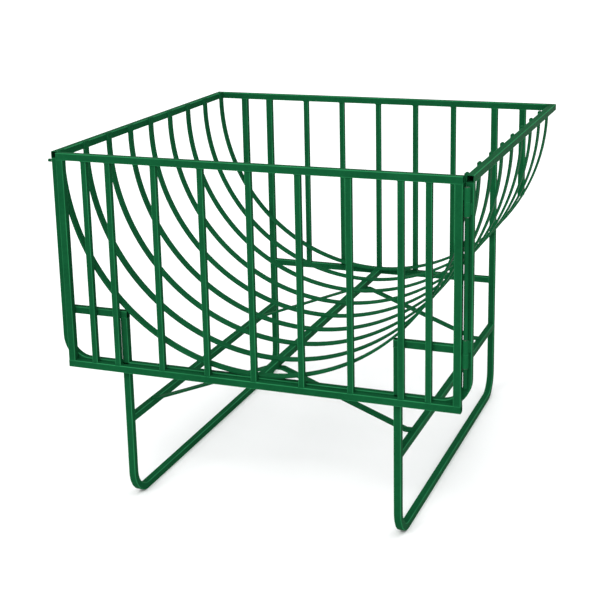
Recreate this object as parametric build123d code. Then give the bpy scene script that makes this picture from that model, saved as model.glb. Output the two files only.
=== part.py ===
from build123d import *
import math
import os

# Hay rack feeder: a steel basket of nine curved flat bars hangs between two side rails, over a pair
# of bent tube leg frames.  The front is a barred gate on two barrel hinges, held by a push-through pin.
#
# Working axes: X across the rack, Y from the front posts to the rear panel, Z up from the floor, with
# X = 0 on the middle plane and Y = 0 on the front face of the posts.  Every node is moved at the end
# so that the origin is the middle of the footprint, on the floor.

# Overall size, mm
rack_width = 1470.0  # over the outer faces of the side rails
rack_depth = 1390.0  # front face of the posts to rear face of the rear panel
rail_top = 1252.0  # top face of the side rails above the floor

# Stock
tube = 25.0  # square tube of the frame, the legs and the gate frame
tube_wall = 1.5
tube_corner = 2.5  # outside corner radius of the square tube
bar = 20.0  # square tube of the upright bars
bar_corner = 2.0
flat_width = 30.0  # flat bar of the hoops and braces
flat_thick = 7.0
bend_radius = 87.5  # centre line radius of every bent tube

# Basket
hoop_count = 9
hoop_first = 20.0  # middle of the first hoop behind the front of the posts
hoop_tip = 3.0  # how far the hoop ends stand above the side rails

# Legs and rear panel
leg_offset = 491.0  # middle plane to the middle of a leg frame
leg_top = 677.0  # upper end of a front leg, under its stub
stretcher_top = 315.0
rear_bar_count = 5
rear_bar_pitch = 160.5  # even, with the middle bar on the middle plane
rear_outer_bar = 605.0  # middle plane to the middle of an outer rear bar
brace_rows = {"front": 185.0, "rear": 1160.0}
brace_bend = 12.0

# Gate
gate_edges = {"left": -703.0, "right": 706.5}  # outer faces of the stiles
gate_bottom = 486.0
gate_gap = 1.0  # between the gate and the front face of the posts
gate_bar_pitch = 170.0
gate_main_bars = 7

# Hinges
hinge_x = 717.0
hinge_y = -11.0
knuckle_radius = 10.0
knuckle_length = 45.0
knuckle_gap = 0.5
rod_radius = 7.0
rod_bottom = 570.0
rod_proud = 2.0  # how far the hinge rod stands above the upper hinge
running_clearance = 0.05
hinge_parting = {"upper": 1171.0, "lower": 683.0}  # height between the two knuckles of a hinge
leaf_height = 36.0
gate_leaf_thick = 8.0
post_leaf_thick = 5.0
post_leaf_edges = (709.0, 731.0)  # a post knuckle's leaf reaches between these, across the post

# Latch
latch_radius = 5.5
latch_y = 9.0
latch_z = 1218.5
latch_tip_x = -752.0  # outer end of the latch pin when it is drawn back
latch_end_x = -710.5  # inner end of the latch pin when it is drawn back
latch_clearance = 0.1
eye_radius = 12.0
eye_hole_radius = 6.0
eye_thick = 5.0
eye_face_x = -702.0

# Derived places
half_width = rack_width / 2
inner_half = half_width - tube
rail_z = rail_top - tube / 2
rail_bottom = rail_top - tube
hoop_outer = inner_half
hoop_inner = hoop_outer - flat_thick
keel_top = rail_bottom - hoop_outer
keel_z = keel_top - tube / 2
front_y = tube / 2
rear_y = rack_depth - tube / 2
rear_face = rack_depth - tube
hoop_pitch = (rear_face - flat_width / 2 - hoop_first) / (hoop_count - 1)
gate_y = -gate_gap - tube / 2
gate_main_x = (gate_main_bars - 1) / 2 * gate_bar_pitch
gate_outer_bar = (gate_main_x - gate_edges["left"] - tube / 2) / 2

footprint_x = (latch_tip_x + half_width) / 2
footprint_y = (rack_depth - gate_gap - tube) / 2
to_origin = Pos(-footprint_x, -footprint_y, 0)

sides = {"left": -1, "right": 1}
nodes = {}


def tube_section(size, wall, corner):
    """Section of a square tube, on the XY plane."""
    hole = size - 2 * wall
    return RectangleRounded(size, size, corner) - RectangleRounded(hole, hole, corner - wall)


def square_tube(start, end, size=tube, corner=tube_corner):
    """Straight square tube with open ends, between two points of its centre line."""
    run = Vector(end) - Vector(start)
    side_dir = (0, 1, 0) if abs(run.X) > abs(run.Y) else (1, 0, 0)
    plane = Plane(origin=start, x_dir=side_dir, z_dir=run.normalized())
    return extrude(plane * tube_section(size, tube_wall, corner), run.length)


def bent_tube(points, side_dir):
    """Square tube swept along straight runs joined by equal bends."""
    path = FilletPolyline(*points, radius=bend_radius)
    plane = Plane(origin=path @ 0, x_dir=side_dir, z_dir=path % 0)
    return sweep(plane * tube_section(tube, tube_wall, tube_corner), path=path)


def mitre_plane(side):
    """Plane of the 45 degree cut at a rear corner; its normal points at the rear rail."""
    return Plane(origin=(side * half_width, rack_depth, 0), z_dir=(-side, 1, 0))


def side_rail(side):
    x = side * (half_width - tube / 2)
    rail = square_tube((x, 0, rail_z), (x, rack_depth, rail_z))
    return split(rail, bisect_by=mitre_plane(side), keep=Keep.BOTTOM)


def rear_top_rail():
    rail = square_tube((-half_width, rear_y, rail_z), (half_width, rear_y, rail_z))
    for side in sides.values():
        rail = split(rail, bisect_by=mitre_plane(side), keep=Keep.TOP)
    return rail


def latch_bore():
    """Hole that the latch pin slides in, through the left post and the edge of the first hoop."""
    hole = Cylinder(latch_radius + latch_clearance, 2 * tube, rotation=(0, 90, 0))
    return Pos(tube / 2 - half_width, latch_y, latch_z) * hole


def front_frame():
    """Posts and bottom rail of the front in one bent tube."""
    post_x = half_width - tube / 2
    corners = [
        (-post_x, front_y, rail_bottom),
        (-post_x, front_y, keel_z),
        (post_x, front_y, keel_z),
        (post_x, front_y, rail_bottom),
    ]
    return bent_tube(corners, (0, 1, 0)) - latch_bore()


def leg_frame(side):
    """Front leg, floor runner and rear leg in one bent tube."""
    x = side * leg_offset
    corners = [
        (x, front_y, leg_top),
        (x, front_y, tube / 2),
        (x, rear_y, tube / 2),
        (x, rear_y, rail_bottom),
    ]
    return bent_tube(corners, (1, 0, 0))


def leg_stub(side):
    """Short tube from the front post over the front leg, open above the leg's inner face."""
    z = leg_top + tube / 2
    return square_tube((side * inner_half, front_y, z), (side * (leg_offset - tube / 2), front_y, z))


def hoop(y):
    """Half ring of flat bar with straight ends against the side rails."""
    ring = Circle(hoop_outer) - Circle(hoop_inner)
    half_ring = ring & Pos(0, -hoop_outer / 2) * Rectangle(2 * hoop_outer, hoop_outer)
    end_length = tube + hoop_tip
    end_x = hoop_outer - flat_thick / 2
    profile = half_ring
    for side in sides.values():
        profile = profile + Pos(side * end_x, end_length / 2) * Rectangle(flat_thick, end_length)
    plane = Plane(origin=(0, y + flat_width / 2, rail_bottom), x_dir=(1, 0, 0), z_dir=(0, -1, 0))
    return extrude(plane * profile, flat_width)


def rear_outer_bar_tube(side):
    """Outer rear bar, cut off along the outside of the last hoop."""
    x = side * rear_outer_bar
    full = square_tube((x, rear_y, rail_bottom - hoop_outer / 2), (x, rear_y, rail_bottom))
    edges = [rear_outer_bar - tube / 2, rear_outer_bar + tube / 2]
    inner_z, outer_z = [rail_bottom - math.sqrt(hoop_outer**2 - edge**2) for edge in edges]
    rise = outer_z - inner_z
    cut = Plane(origin=(side * edges[0], rear_y, inner_z), z_dir=(-side * rise, 0, tube))
    return split(full, bisect_by=cut, keep=Keep.TOP)


def brace(side, y):
    """Flat bar from under the keel down to the top of the stretcher, bent level at both ends."""
    upper_z = keel_top - tube - flat_thick / 2
    lower_z = stretcher_top + flat_thick / 2
    points = [
        (0, y, upper_z),
        (side * tube, y, upper_z),
        (side * (leg_offset - tube), y, lower_z),
        (side * leg_offset, y, lower_z),
    ]
    path = FilletPolyline(*points, radius=brace_bend)
    plane = Plane(origin=path @ 0, x_dir=(0, 1, 0), z_dir=path % 0)
    return sweep(plane * Rectangle(flat_width, flat_thick), path=path)


def gate_upright(x, size, corner):
    bottom = gate_bottom + tube
    return square_tube((x, gate_y, bottom), (x, gate_y, rail_bottom), size, corner)


def gate_rail(bottom):
    z = bottom + tube / 2
    return square_tube((gate_edges["left"], gate_y, z), (gate_edges["right"], gate_y, z))


def knuckle(middle_z, leaf, bore_radius):
    """Barrel hinge knuckle with its welding leaf; the bore runs through both."""
    body = Pos(hinge_x, hinge_y, middle_z) * Cylinder(knuckle_radius, knuckle_length)
    bore = Pos(hinge_x, hinge_y, middle_z) * Cylinder(bore_radius, 2 * knuckle_length)
    return body + leaf - bore


def gate_knuckle(middle_z):
    """Knuckle on the gate, with a leaf to the side of the gate's right stile."""
    stile_side = gate_edges["right"]
    reach = hinge_x - stile_side
    leaf = Pos(stile_side + reach / 2, hinge_y, middle_z) * Box(reach, gate_leaf_thick, leaf_height)
    return knuckle(middle_z, leaf, rod_radius + running_clearance)


def post_knuckle(middle_z):
    """Knuckle on the right post, with a web to a leaf that lies flat on the post's front face."""
    inner, outer = post_leaf_edges
    leaf = Box(outer - inner, post_leaf_thick, leaf_height)
    web = Box(2 * rod_radius, -hinge_y, leaf_height)
    mount = Pos((inner + outer) / 2, -post_leaf_thick / 2, middle_z) * leaf
    mount += Pos(hinge_x, hinge_y / 2, middle_z) * web
    return knuckle(middle_z, mount, rod_radius)


def hinge(name, gate_on_top):
    """The two knuckles of a hinge, either side of its parting height."""
    parting = hinge_parting[name]
    step = (knuckle_gap + knuckle_length) / 2
    gate_z = parting + step if gate_on_top else parting - step
    post_z = parting - step if gate_on_top else parting + step
    nodes[name + "_gate_knuckle"] = gate_knuckle(gate_z)
    nodes[name + "_post_knuckle"] = post_knuckle(post_z)


def hinge_rod():
    """One long rod through all four knuckles, fixed in the two on the post."""
    rod_top = hinge_parting["upper"] + knuckle_gap / 2 + knuckle_length + rod_proud
    length = rod_top - rod_bottom
    rod = Cylinder(rod_radius, length)
    rod = chamfer(rod.edges().filter_by(GeomType.CIRCLE), 1.0)
    return Pos(hinge_x, hinge_y, rod_bottom + length / 2) * rod


def latch_pin():
    """Round pin through the left post; pushed in, its inner end enters the eye on the gate."""
    length = latch_end_x - latch_tip_x
    pin = Cylinder(latch_radius, length, rotation=(0, 90, 0))
    pin = chamfer(pin.edges().filter_by(GeomType.CIRCLE), 1.0)
    return Pos(latch_tip_x + length / 2, latch_y, latch_z) * pin


def latch_eye():
    """Eye plate on the back of the gate's left stile, in line with the latch pin."""
    root = latch_y + gate_gap
    plate = Circle(eye_radius) + Pos(-root / 2, 0) * Rectangle(root, 2 * eye_radius)
    plate = plate & Pos(eye_radius - root, 0) * Rectangle(2 * eye_radius, 2 * eye_radius)
    plane = Plane(origin=(eye_face_x, latch_y, latch_z), x_dir=(0, 1, 0), z_dir=(1, 0, 0))
    return extrude(plane * (plate - Circle(eye_hole_radius)), eye_thick)


for name, side in sides.items():
    nodes[name + "_side_rail"] = side_rail(side)
    nodes[name + "_leg_frame"] = leg_frame(side)
    nodes[name + "_leg_stub"] = leg_stub(side)
    x = side * leg_offset
    z = stretcher_top - tube / 2
    nodes[name + "_stretcher"] = square_tube((x, tube, z), (x, rear_face, z))
    nodes["rear_outer_bar_" + name] = rear_outer_bar_tube(side)
    for row, y in brace_rows.items():
        nodes[row + "_brace_" + name] = brace(side, y)

nodes["front_frame"] = front_frame()
nodes["rear_top_rail"] = rear_top_rail()
leg_inner = leg_offset - tube / 2
nodes["rear_bottom_rail"] = square_tube((-leg_inner, rear_y, keel_z), (leg_inner, rear_y, keel_z))
nodes["keel_beam"] = square_tube((0, tube, keel_z), (0, rear_face, keel_z))

for index in range(hoop_count):
    nodes[f"hoop_{index + 1}"] = hoop(hoop_first + index * hoop_pitch)
nodes["hoop_1"] -= latch_bore()

for index in range(rear_bar_count):
    x = (index - (rear_bar_count - 1) / 2) * rear_bar_pitch
    y = rear_face + bar / 2
    nodes[f"rear_bar_{index + 1}"] = square_tube((x, y, keel_top), (x, y, rail_bottom), bar, bar_corner)

nodes["gate_top_rail"] = gate_rail(rail_bottom)
nodes["gate_bottom_rail"] = gate_rail(gate_bottom)
for name, side in sides.items():
    nodes[f"gate_{name}_stile"] = gate_upright(gate_edges[name] - side * tube / 2, tube, tube_corner)

main_bars = [index * gate_bar_pitch - gate_main_x for index in range(gate_main_bars)]
for index, x in enumerate([-gate_outer_bar, *main_bars, gate_outer_bar]):
    nodes[f"gate_bar_{index + 1}"] = gate_upright(x, bar, bar_corner)

hinge("upper", gate_on_top=True)
hinge("lower", gate_on_top=False)
nodes["hinge_rod"] = hinge_rod()
nodes["latch_pin"] = latch_pin()
nodes["latch_eye"] = latch_eye()

os.makedirs("parts", exist_ok=True)
for name, shape in nodes.items():
    export_step(to_origin * shape, f"parts/{name}.step")
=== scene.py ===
import math

import bmesh
import bpy
from mathutils import Matrix, Vector, noise


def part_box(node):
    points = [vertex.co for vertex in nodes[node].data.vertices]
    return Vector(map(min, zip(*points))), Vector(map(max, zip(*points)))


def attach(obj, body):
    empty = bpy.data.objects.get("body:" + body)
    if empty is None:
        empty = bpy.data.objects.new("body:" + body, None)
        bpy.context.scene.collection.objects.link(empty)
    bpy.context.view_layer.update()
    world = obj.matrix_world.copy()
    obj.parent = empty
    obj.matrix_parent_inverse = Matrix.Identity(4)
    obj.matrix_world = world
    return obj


# Hay rack feeder: powder coated steel, with its weld beads, on a pale studio floor.
# Everything is in metres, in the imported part's own frame.

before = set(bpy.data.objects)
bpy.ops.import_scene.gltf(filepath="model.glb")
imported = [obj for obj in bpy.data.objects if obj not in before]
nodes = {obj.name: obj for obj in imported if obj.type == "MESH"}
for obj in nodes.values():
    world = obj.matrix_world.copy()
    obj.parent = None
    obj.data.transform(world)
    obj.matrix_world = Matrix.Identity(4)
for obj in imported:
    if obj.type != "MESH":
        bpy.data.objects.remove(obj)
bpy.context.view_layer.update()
scene = bpy.context.scene

HOOPS = 9
GATE_BARS = 9
REAR_BARS = 5
SIDES = {"left": -1, "right": 1}
X, Y, Z = 0, 1, 2

# Powder coat
COAT_IOR = 1.026  # set low, because a pale floor is reflected all round the rack
GREEN = (0.0046, 0.0690, 0.0232)
BARE_STEEL = (0.23, 0.24, 0.23)

# Noise scales of the coats, in features per metre
CLOUD = 5.5  # wide, faint changes of colour
MOTTLE = 75.0
SPECK = 620.0
CHIPPED = 55.0  # breaks up the lighter edges: part chipped coat, part painted highlight
PATCHY = 9.0  # makes the painted highlight on the corners uneven
SMUDGE = 14.0  # changes of roughness
ORANGE_PEEL = 520.0
ROLLED = 26.0  # shallow waves of the flat bars
RUBBED = 240.0  # breaks up the bare rings of a pin

# Radii of the weld beads
BEAD = 0.0024  # a plain fillet weld
FLUSH_BEAD = 0.0019  # where two faces are level
FINE_BEAD = 0.0011  # along a rail's mitre, and beside the latch eye
HOOP_TOP_BEAD = 0.0026
BRACE_SIDE_BEAD = 0.0028
BRACE_END_BEAD = 0.0032
BRACE_EDGE_BEAD = 0.0022
GATE_LEAF_BEAD = 0.0026
POST_LEAF_BEAD = 0.0022
POST_LEAF_EDGE_BEAD = 0.0021

# Where the beads lie
FLUSH_INSET = 0.0021  # how far a flush bead's middle lies under the level faces
SINK = 0.0004  # how far a bead's middle is off the line where two pieces meet
GAP = 0.002  # left free at each end of a bead across a tube's face
FLAT_GAP = 0.001  # the same across a flat bar
TUBE_CORNER = 0.002  # radius of a loop of beads at a tube's corners
LEAF_HALF = 0.004  # half of the height of a gate leaf's edge
LEAF_END = 0.0045  # from a knuckle's end to the bead at its leaf's end
GATE_LEAF_GAP = 0.005  # from a gate knuckle's ends to its leaf's side beads
POST_LEAF_START = 0.008  # from the side of a post knuckle to its leaf's end beads
POST_LEAF_INSET = 0.0006  # from a post leaf's side to its side bead
HOOP_TIP_OUT = 0.0006  # from a hoop's end to its top bead
KEEL_SIDE_INSET = 0.0008  # from the keel beam's sides to the hoops' beads there
KEEL_TOP_DROP = 0.0010  # from the keel beam's top to the same beads
MITRE_DROP = 0.0007  # from a rail's top to its mitre's bead
MITRE_END = 0.0006  # from the rails' outer corner to that bead's end
BRACE_END_RISE = 0.0005  # from a stretcher's top to a brace's end bead
BRACE_EDGE_DROP = 0.001  # from a stretcher's top to the bead under a brace
EYE_INSET = 0.0006  # from the latch eye's face to its bead
EYE_BEAD = (0.001, 0.019)  # start and end of that bead, over the eye's lowest point

# The form of a bead
RIPPLE = 0.0026  # length of one ripple
RIPPLE_DEPTH = 0.16  # share of the radius
SWELL = 0.12  # slow change of the radius
BEAD_END = 0.3  # size of a bead's end, against its middle
WANDER = 0.25  # how far the ripples are out of step, in ripples
WANDER_NOISE = 160.0  # features per metre
SWELL_NOISE = 95.0
SEED_SPREAD = 37.0  # sets the noise of one bead apart from the next one's
STATION = 0.0008  # length between two rings of a bead's mesh
RING = 10  # points round a bead
RING_TURN = 0.3  # radians
CORNER_STEPS = 3  # runs in each corner of a loop


# ---------------------------------------------------------------- materials

def new_material(name):
    made = bpy.data.materials.new(name)
    made.use_nodes = True
    tree = made.node_tree
    tree.nodes.clear()
    return made, tree


def add(tree, kind, **values):
    """A node, with its sockets and properties set by name."""
    node = tree.nodes.new(kind)
    for key, value in values.items():
        if hasattr(node, key):
            setattr(node, key, value)
        else:
            node.inputs[key.replace("_", " ")].default_value = value
    return node


def finish_material(tree, shader):
    output = add(tree, "ShaderNodeOutputMaterial")
    tree.links.new(shader.outputs["BSDF"], output.inputs["Surface"])


def object_place(tree):
    return add(tree, "ShaderNodeTexCoord").outputs["Object"]


def noise_of(tree, place, scale, detail=3.0, roughness=0.5):
    node = add(tree, "ShaderNodeTexNoise", Scale=scale, Detail=detail, Roughness=roughness)
    tree.links.new(place, node.inputs["Vector"])
    return node.outputs["Fac"]


def ramp(tree, value, low, high, out_low=0.0, out_high=1.0):
    node = add(tree, "ShaderNodeMapRange", clamp=True)
    sockets = ("From Min", "From Max", "To Min", "To Max")
    for socket, number in zip(sockets, (low, high, out_low, out_high)):
        node.inputs[socket].default_value = number
    tree.links.new(value, node.inputs["Value"])
    return node.outputs["Result"]


def math_of(tree, operation, a, b=0.0):
    node = add(tree, "ShaderNodeMath", operation=operation)
    for socket, value in zip(node.inputs, (a, b)):
        if isinstance(value, (int, float)):
            socket.default_value = value
        else:
            tree.links.new(value, socket)
    return node.outputs[0]


def times(tree, a, b):
    return math_of(tree, "MULTIPLY", a, b)


def mix_colour(tree, factor, a, b):
    node = add(tree, "ShaderNodeMix", data_type="RGBA")
    tree.links.new(factor, node.inputs[0])
    for socket, value in zip((node.inputs[6], node.inputs[7]), (a, b)):
        if isinstance(value, tuple):
            socket.default_value = (*value, 1.0)
        else:
            tree.links.new(value, socket)
    return node.outputs[2]


def scaled(colour, factor, lift=0.0):
    return tuple(channel * factor + lift for channel in colour)


def bump(tree, height, strength, distance, under=None):
    node = add(tree, "ShaderNodeBump", Strength=strength, Distance=distance)
    tree.links.new(height, node.inputs["Height"])
    if under is not None:
        tree.links.new(under, node.inputs["Normal"])
    return node.outputs["Normal"]


def edge_mask(tree, radius):
    """1 along the sharp and small-radius edges, 0 on the faces."""
    bevel = add(tree, "ShaderNodeBevel", samples=4, Radius=radius)
    plain = add(tree, "ShaderNodeNewGeometry")
    dot = add(tree, "ShaderNodeVectorMath", operation="DOT_PRODUCT")
    tree.links.new(bevel.outputs["Normal"], dot.inputs[0])
    tree.links.new(plain.outputs["Normal"], dot.inputs[1])
    return ramp(tree, dot.outputs["Value"], 0.995, 0.93)


def corner_mask(tree, axis):
    """1 on the rounded corners of a tube that runs or bends square to this axis, 0 on its faces."""
    split = add(tree, "ShaderNodeSeparateXYZ")
    tree.links.new(add(tree, "ShaderNodeTexCoord").outputs["Normal"], split.inputs[0])
    tilt = math_of(tree, "ABSOLUTE", split.outputs[axis])
    return times(tree, ramp(tree, tilt, 0.04, 0.16), ramp(tree, tilt, 0.998, 0.975))


def powder_coat(name, base, rough, wear_and_highlight=0.8, wave=0.0, peel=1.0, edge=0.003, corner=None):
    """Satin powder coat: orange peel, faint mottling, edges lighter as part rubbed coat and part
    painted highlight, corners lighter as a painted highlight.
    """
    made, tree = new_material(name)
    place = object_place(tree)
    shader = add(tree, "ShaderNodeBsdfPrincipled", Metallic=0.0, IOR=COAT_IOR)
    # paler green: the coat's specks, and the edges, where it is part rubbed coat, part painted
    # highlight
    thin_coat_and_highlight = scaled(base, 2.1, 0.004)

    cloud = ramp(tree, noise_of(tree, place, CLOUD, 4.0, 0.6), 0.3, 0.7)
    mottle = ramp(tree, noise_of(tree, place, MOTTLE, 5.0, 0.7), 0.3, 0.7)
    blotch = math_of(tree, "ADD", times(tree, cloud, 0.55), times(tree, mottle, 0.45))
    colour = mix_colour(tree, blotch, scaled(base, 0.78), scaled(base, 1.25, 0.0004))
    speck = ramp(tree, noise_of(tree, place, SPECK, 2.0), 0.66, 0.8, 0.0, 0.35)
    colour = mix_colour(tree, speck, colour, thin_coat_and_highlight)
    # the edges get the paler green, chipped: part rubbed coat, part painted highlight
    broken = ramp(tree, noise_of(tree, place, CHIPPED, 4.0, 0.65), 0.38, 0.66, 0.25, 1.0)
    chipped_and_highlit_edges = times(tree, times(tree, edge_mask(tree, edge), broken), wear_and_highlight)
    colour = mix_colour(tree, chipped_and_highlit_edges, colour, thin_coat_and_highlight)
    # painted highlight: the rounded corners get a much paler green, for light caught along them
    if corner is not None:
        patchy = ramp(tree, noise_of(tree, place, PATCHY, 3.0), 0.3, 0.62, 0.35, 0.95)
        pale = times(tree, corner_mask(tree, corner), patchy)
        colour = mix_colour(tree, pale, colour, scaled(base, 2.7, 0.010))
    tree.links.new(colour, shader.inputs["Base Color"])

    smudge = noise_of(tree, place, SMUDGE, 5.0, 0.6)
    smudge = ramp(tree, smudge, 0.25, 0.75, rough - 0.06, rough + 0.08)
    tree.links.new(smudge, shader.inputs["Roughness"])

    skin = bump(tree, noise_of(tree, place, ORANGE_PEEL, 1.0), 0.16 * peel, 0.00035)
    if wave:
        skin = bump(tree, noise_of(tree, place, ROLLED, 2.0), wave, 0.0012, under=skin)
    tree.links.new(skin, shader.inputs["Normal"])
    finish_material(tree, shader)
    return made


def rubbed_coat(name, base, axis, bands, half_band):
    """Powder coat rubbed through to bare steel in rings, where another piece turns or slides on it."""
    made, tree = new_material(name)
    place = object_place(tree)
    shader = add(tree, "ShaderNodeBsdfPrincipled", IOR=COAT_IOR)
    split = add(tree, "ShaderNodeSeparateXYZ")
    tree.links.new(place, split.inputs[0])
    along = split.outputs[axis]
    near = None
    for band in bands:
        gap = math_of(tree, "ABSOLUTE", math_of(tree, "SUBTRACT", along, band))
        close = ramp(tree, gap, half_band, half_band * 0.25)
        near = close if near is None else math_of(tree, "MAXIMUM", near, close)
    patch = ramp(tree, noise_of(tree, place, RUBBED, 4.0, 0.65), 0.42, 0.6)
    bare = times(tree, near, patch)
    cloud = ramp(tree, noise_of(tree, place, 9.0, 4.0, 0.6), 0.3, 0.7)
    coat = mix_colour(tree, cloud, scaled(base, 0.86), scaled(base, 1.2))
    tree.links.new(mix_colour(tree, bare, coat, BARE_STEEL), shader.inputs["Base Color"])
    tree.links.new(bare, shader.inputs["Metallic"])
    rough = ramp(tree, noise_of(tree, place, 90.0, 4.0), 0.3, 0.7, 0.28, 0.42)
    tree.links.new(rough, shader.inputs["Roughness"])
    skin = bump(tree, noise_of(tree, place, 480.0, 2.0), 0.2, 0.0003)
    tree.links.new(skin, shader.inputs["Normal"])
    finish_material(tree, shader)
    return made


# corner is the axis that a coat's tubes or bars run and bend square to; their rounded corners get a
# painted highlight
tube_coat = powder_coat("tube_coat", GREEN, 0.37, corner=X)
cross_coat = powder_coat("cross_tube_coat", GREEN, 0.37, corner=Y)
flat_coat = powder_coat("flat_bar_coat", scaled(GREEN, 1.04), 0.39, wear_and_highlight=1.0, wave=0.10,
                        edge=0.0018, corner=Y)
gate_coat = powder_coat("gate_coat", scaled(GREEN, 1.02), 0.35, corner=Y)
# painted light: a 1.25 times lighter green, for the light the round knuckles catch
hinge_coat = powder_coat("hinge_coat", scaled(GREEN, 1.25), 0.34, wear_and_highlight=0.9)
weld_coat = powder_coat("weld_coat", scaled(GREEN, 1.1), 0.33, wear_and_highlight=0.15, peel=0.5)

knuckle_ends = []
for hinge in ("upper", "lower"):
    for leaf in ("gate", "post"):
        knuckle_ends += [corner.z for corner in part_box(f"{hinge}_{leaf}_knuckle")]
rod_coat = rubbed_coat("hinge_rod_coat", GREEN, Z, sorted(knuckle_ends), 0.004)
post_inner_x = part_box("hoop_1")[0].x
post_outer_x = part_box("front_frame")[0].x
pin_coat = rubbed_coat("latch_pin_coat", GREEN, X, [post_outer_x, post_inner_x], 0.006)

COATS = {  # by a word in the node's name; the first that fits
    "hoop": flat_coat,
    "brace": flat_coat,
    "knuckle": hinge_coat,
    "eye": hinge_coat,
    "hinge_rod": rod_coat,
    "latch_pin": pin_coat,
    "gate": gate_coat,
    "front_frame": cross_coat,
    "rear": cross_coat,
    "stub": cross_coat,
}
for name, node in nodes.items():
    coat = next((made for word, made in COATS.items() if word in name), tube_coat)
    node.data.materials.clear()
    node.data.materials.append(coat)


# -------------------------------------------------------------- weld beads

def ring_points(middle, side, up, radius):
    points = []
    for step in range(RING):
        angle = 2 * math.pi * step / RING + RING_TURN
        points.append(middle + radius * (math.cos(angle) * side + math.sin(angle) * up))
    return points


def along_path(points, closed):
    """Evenly spaced places along straight runs, each with its distance, and the whole length."""
    stops = list(points) + ([points[0]] if closed else [])
    lengths = [(b - a).length for a, b in zip(stops, stops[1:])]
    total = sum(lengths)
    count = max(4, round(total / STATION))
    places = []
    for index in range(count if closed else count + 1):
        travelled = total * index / count
        left = travelled
        run = 0
        while run < len(lengths) - 1 and left > lengths[run]:
            left -= lengths[run]
            run += 1
        places.append((stops[run].lerp(stops[run + 1], left / lengths[run]), travelled))
    return places, total


def bead_size(radius, seed, travelled):
    """The radius at one place of a rippled bead."""
    wander = WANDER * noise.noise(seed + Vector((travelled * WANDER_NOISE, 0, 0)))
    scallop = abs(math.sin(math.pi * (travelled / RIPPLE + wander))) ** 0.6
    swell = 1.0 + SWELL * noise.noise(seed + Vector((0, travelled * SWELL_NOISE, 0)))
    return radius * swell * (1.0 - RIPPLE_DEPTH + RIPPLE_DEPTH * scallop)


def bead(mesh, points, radius=BEAD, closed=False):
    """One rippled weld bead on a path; an open bead's ends taper and are closed."""
    points = [Vector(p) for p in points]
    places, total = along_path(points, closed)
    count = len(places)
    seed = points[0] * SEED_SPREAD
    rings = []
    for index, (middle, travelled) in enumerate(places):
        before = places[index - 1][0] if index or closed else middle
        after = places[(index + 1) % count][0] if index < count - 1 or closed else middle
        ahead = (after - before).normalized()
        helper = Vector((0, 0, 1)) if abs(ahead.z) < 0.9 else Vector((0, 1, 0))
        side = ahead.cross(helper).normalized()
        up = side.cross(ahead).normalized()
        size = bead_size(radius, seed, travelled)
        if not closed:
            end = min(travelled, total - travelled) / (1.5 * radius)
            size *= BEAD_END + (1.0 - BEAD_END) * math.sqrt(min(1.0, max(0.0, end)))
        rings.append([mesh.verts.new(p) for p in ring_points(middle, side, up, size)])
    for index in range(count if closed else count - 1):
        this, following = rings[index], rings[(index + 1) % count]
        for step in range(RING):
            other = (step + 1) % RING
            mesh.faces.new((this[step], this[other], following[other], following[step]))
    if not closed:
        mesh.faces.new(list(reversed(rings[0])))
        mesh.faces.new(rings[-1])


def across(axis):
    """The two axes square to this one, in order."""
    return (axis + 1) % 3, (axis + 2) % 3


def loop_bead(mesh, centre, half_a, half_b, axis, radius=BEAD):
    """A bead all round the end of a tube. axis is the tube's own."""
    first, second = across(axis)
    points = []
    for quarter, (sign_a, sign_b) in enumerate(((1, 1), (-1, 1), (-1, -1), (1, -1))):
        for step in range(CORNER_STEPS + 1):
            angle = math.pi / 2 * (quarter + step / CORNER_STEPS)
            point = Vector(centre)
            point[first] += sign_a * (half_a - TUBE_CORNER) + TUBE_CORNER * math.cos(angle)
            point[second] += sign_b * (half_b - TUBE_CORNER) + TUBE_CORNER * math.sin(angle)
            points.append(point)
    bead(mesh, points, radius, closed=True)


def weld_piece(name, body, build):
    """One piece that holds the beads that build() adds, riding on a body."""
    mesh = bmesh.new()
    build(mesh)
    bmesh.ops.recalc_face_normals(mesh, faces=mesh.faces[:])
    data = bpy.data.meshes.new(name)
    mesh.to_mesh(data)
    mesh.free()
    data.polygons.foreach_set("use_smooth", [True] * len(data.polygons))
    data.materials.append(weld_coat)
    piece = bpy.data.objects.new(name, data)
    scene.collection.objects.link(piece)
    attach(piece, body)


def end_loops(mesh, node, axis, level=(False, False), ends=(0, 1)):
    """Beads round the ends of a straight tube. level says which sides are level with what it meets."""
    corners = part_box(node)
    centre = (corners[0] + corners[1]) / 2
    half = (corners[1] - corners[0]) / 2
    first, second = across(axis)
    half_a = half[first] - (FLUSH_INSET if level[0] else 0.0)
    half_b = half[second] - (FLUSH_INSET if level[1] else 0.0)
    for end in ends:
        place = centre.copy()
        place[axis] = corners[end][axis] + (SINK if end else -SINK)
        loop_bead(mesh, place, half_a, half_b, axis, FLUSH_BEAD if any(level) else BEAD)


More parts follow.
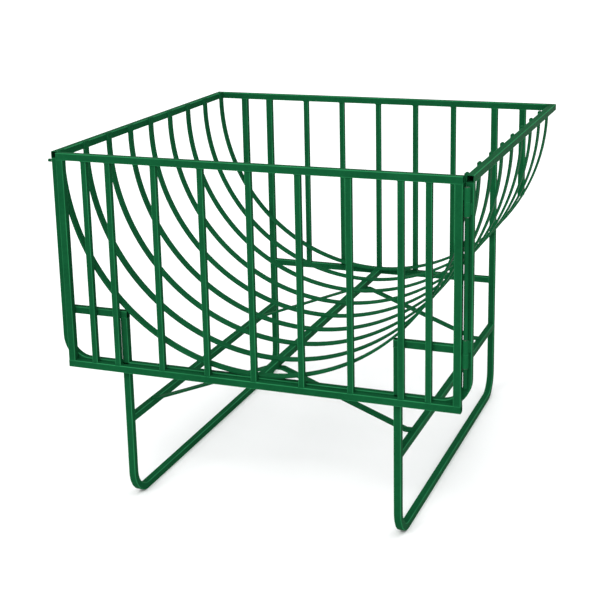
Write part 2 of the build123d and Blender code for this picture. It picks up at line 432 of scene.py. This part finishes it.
def basket_welds(mesh):
    rail_low, rail_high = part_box("right_side_rail")
    keel_low, keel_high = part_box("keel_beam")
    rail_top = rail_high.z - SINK
    keel_side_z = keel_high.z - KEEL_TOP_DROP
    for index in range(HOOPS):
        low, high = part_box(f"hoop_{index + 1}")
        for side, x in ((-1, low.x), (1, high.x)):
            for y in (low.y - SINK, high.y + SINK):
                bead(mesh, [(x, y, rail_low.z + GAP), (x, y, rail_high.z - GAP)])
            tip_x = x + side * HOOP_TIP_OUT
            bead(mesh, [(tip_x, low.y + GAP, rail_top), (tip_x, high.y - GAP, rail_top)],
                 HOOP_TOP_BEAD)
        for x in (keel_low.x + KEEL_SIDE_INSET, keel_high.x - KEEL_SIDE_INSET):
            bead(mesh, [(x, low.y + FLAT_GAP, keel_side_z), (x, high.y - FLAT_GAP, keel_side_z)])
        for y in (low.y, high.y):
            bead(mesh, [(keel_low.x + GAP, y, keel_high.z), (keel_high.x - GAP, y, keel_high.z)])


def mitre_bead(mesh, low, high, sign, tube):
    """Along the mitre on top of a side rail's rear end."""
    inner, outer = (low.x, high.x) if sign > 0 else (high.x, low.x)
    top = high.z - MITRE_DROP
    rear_corner = (outer - sign * MITRE_END, high.y - MITRE_END, top)
    bead(mesh, [(inner, high.y - tube, top), rear_corner], FINE_BEAD)


def frame_welds(mesh):
    for side in SIDES:
        end_loops(mesh, f"{side}_leg_stub", X, (True, False), ends=(1 if side == "right" else 0,))
        end_loops(mesh, f"{side}_stretcher", Y, (False, True))
        end_loops(mesh, f"rear_outer_bar_{side}", Z, (False, True), ends=(1,))
    end_loops(mesh, "rear_bottom_rail", X, (True, False))
    end_loops(mesh, "keel_beam", Y, (True, False))
    for index in range(REAR_BARS):
        end_loops(mesh, f"rear_bar_{index + 1}", Z)
    rail_low, rail_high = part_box("right_side_rail")
    tube = rail_high.x - rail_low.x
    half = tube / 2 - FLUSH_INSET
    for side, sign in SIDES.items():
        low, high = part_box(f"{side}_side_rail")
        post = Vector(((low.x + high.x) / 2, low.y + tube / 2, low.z + SINK))
        loop_bead(mesh, post, half, half, Z, FLUSH_BEAD)
        leg_low, leg_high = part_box(f"{side}_leg_frame")
        leg_x = (leg_low.x + leg_high.x) / 2
        rear_leg = Vector((leg_x, leg_high.y - tube / 2, leg_high.z + SINK))
        loop_bead(mesh, rear_leg, tube / 2, half, Z, FLUSH_BEAD)
        front_leg = Vector((leg_x, leg_low.y + tube / 2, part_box(f"{side}_leg_stub")[0].z))
        loop_bead(mesh, front_leg, tube / 2, half, Z, FLUSH_BEAD)
        mitre_bead(mesh, low, high, sign, tube)


def brace_welds(mesh):
    keel_low, keel_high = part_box("keel_beam")
    for row in ("front", "rear"):
        for side, sign in SIDES.items():
            low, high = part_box(f"{row}_brace_{side}")
            stretcher_low, stretcher_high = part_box(f"{side}_stretcher")
            outer, edge = (high.x, stretcher_low.x) if sign > 0 else (low.x, stretcher_high.x)
            level = stretcher_high.z
            for y in (low.y, high.y):
                bead(mesh, [(edge + sign * GAP, y, level), (outer, y, level)], BRACE_SIDE_BEAD)
                bead(mesh, [(keel_low.x + GAP, y, keel_low.z), (keel_high.x - GAP, y, keel_low.z)])
            for x, z, radius in ((outer, level + BRACE_END_RISE, BRACE_END_BEAD),
                                 (edge, level - BRACE_EDGE_DROP, BRACE_EDGE_BEAD)):
                bead(mesh, [(x, low.y + FLAT_GAP, z), (x, high.y - FLAT_GAP, z)], radius)


def gate_welds(mesh):
    for index in range(GATE_BARS):
        end_loops(mesh, f"gate_bar_{index + 1}", Z)
    for side in SIDES:
        end_loops(mesh, f"gate_{side}_stile", Z, (True, True))
    stile_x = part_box("gate_right_stile")[1].x
    for hinge in ("upper", "lower"):
        low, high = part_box(f"{hinge}_gate_knuckle")
        middle = (low.y + high.y) / 2
        front, back = middle - LEAF_HALF, middle + LEAF_HALF
        bottom, top = low.z + GATE_LEAF_GAP, high.z - GATE_LEAF_GAP
        for y in (front, back):
            bead(mesh, [(stile_x, y, bottom), (stile_x, y, top)], GATE_LEAF_BEAD)
        for z in (low.z + LEAF_END, high.z - LEAF_END):
            bead(mesh, [(stile_x, front, z), (stile_x, back, z)])
    eye_low, eye_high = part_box("latch_eye")
    for x in (eye_low.x + EYE_INSET, eye_high.x):
        bead(mesh, [(x, eye_low.y, eye_low.z + height) for height in EYE_BEAD], FINE_BEAD)


def hinge_welds(mesh):
    post_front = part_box("front_frame")[0].y
    for hinge in ("upper", "lower"):
        low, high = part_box(f"{hinge}_post_knuckle")
        bottom, top = low.z + LEAF_END, high.z - LEAF_END
        for z in (bottom, top):
            start, end = low.x + POST_LEAF_START, high.x - FLAT_GAP
            bead(mesh, [(start, post_front, z), (end, post_front, z)], POST_LEAF_BEAD)
        edge = high.x - POST_LEAF_INSET
        bead(mesh, [(edge, post_front, bottom), (edge, post_front, top)], POST_LEAF_EDGE_BEAD)


weld_piece("basket_welds", "rack", basket_welds)
weld_piece("frame_welds", "rack", frame_welds)
weld_piece("brace_welds", "rack", brace_welds)
weld_piece("hinge_welds", "rack", hinge_welds)
weld_piece("gate_welds", "gate", gate_welds)


# ------------------------------------------------------- floor, light, camera

FLOOR_HALF = 60.0  # large enough that its edge is far behind the rack in every view
FLOOR_DROP = 0.0002  # keeps the floor just under the runners
FLOOR_WHITE = 0.90

floor_mesh = bmesh.new()
bmesh.ops.create_grid(floor_mesh, x_segments=4, y_segments=4, size=FLOOR_HALF)
floor_data = bpy.data.meshes.new("floor")
floor_mesh.to_mesh(floor_data)
floor_mesh.free()
floor = bpy.data.objects.new("floor", floor_data)
scene.collection.objects.link(floor)
floor.location.z = -FLOOR_DROP
floor_material, floor_tree = new_material("floor_pale")
floor_shader = add(floor_tree, "ShaderNodeBsdfPrincipled", Roughness=0.9)
floor_shader.inputs["Base Color"].default_value = (FLOOR_WHITE, FLOOR_WHITE, FLOOR_WHITE, 1.0)
floor_shader.inputs["Specular IOR Level"].default_value = 0.0
finish_material(floor_tree, floor_shader)
floor_data.materials.append(floor_material)


def sun(name, toward, strength, angle):
    """Soft light of one strength everywhere, from the side that toward points at."""
    data = bpy.data.lights.new(name, "SUN")
    data.energy = strength
    data.angle = math.radians(angle)
    light = bpy.data.objects.new(name, data)
    light.rotation_mode = "QUATERNION"
    light.rotation_quaternion = Vector(toward).to_track_quat("Z", "Y")
    scene.collection.objects.link(light)


sun("overhead", (0.3, 0.1, 1.0), 0.8, 50)
sun("front_fill", (-0.05, -1.0, 0.95), 2.1, 34)

world = bpy.data.worlds.new("studio")
world.use_nodes = True
background = world.node_tree.nodes["Background"]
background.inputs["Color"].default_value = (0.98, 0.99, 1.0, 1.0)
background.inputs["Strength"].default_value = 0.75
scene.world = world

# The camera was fitted to the corners and edges of the frame in the photograph
CAMERA_PLACE = Vector((1.6337, -4.4512, 2.0930))
CAMERA_RIGHT = Vector((0.93450, 0.35536, -0.02052))
CAMERA_FORWARD = Vector((-0.34918, 0.90403, -0.24658))
camera_data = bpy.data.cameras.new("camera")
camera_data.sensor_width = 36.0
camera_data.lens = 78.18
camera_data.shift_y = -0.1289
camera = bpy.data.objects.new("camera", camera_data)
camera_up = CAMERA_RIGHT.cross(CAMERA_FORWARD)
turn = Matrix((CAMERA_RIGHT, camera_up, -CAMERA_FORWARD)).transposed()
camera.matrix_world = Matrix.Translation(CAMERA_PLACE) @ turn.to_4x4()
scene.collection.objects.link(camera)
scene.camera = camera
scene.view_settings.view_transform = "Standard"
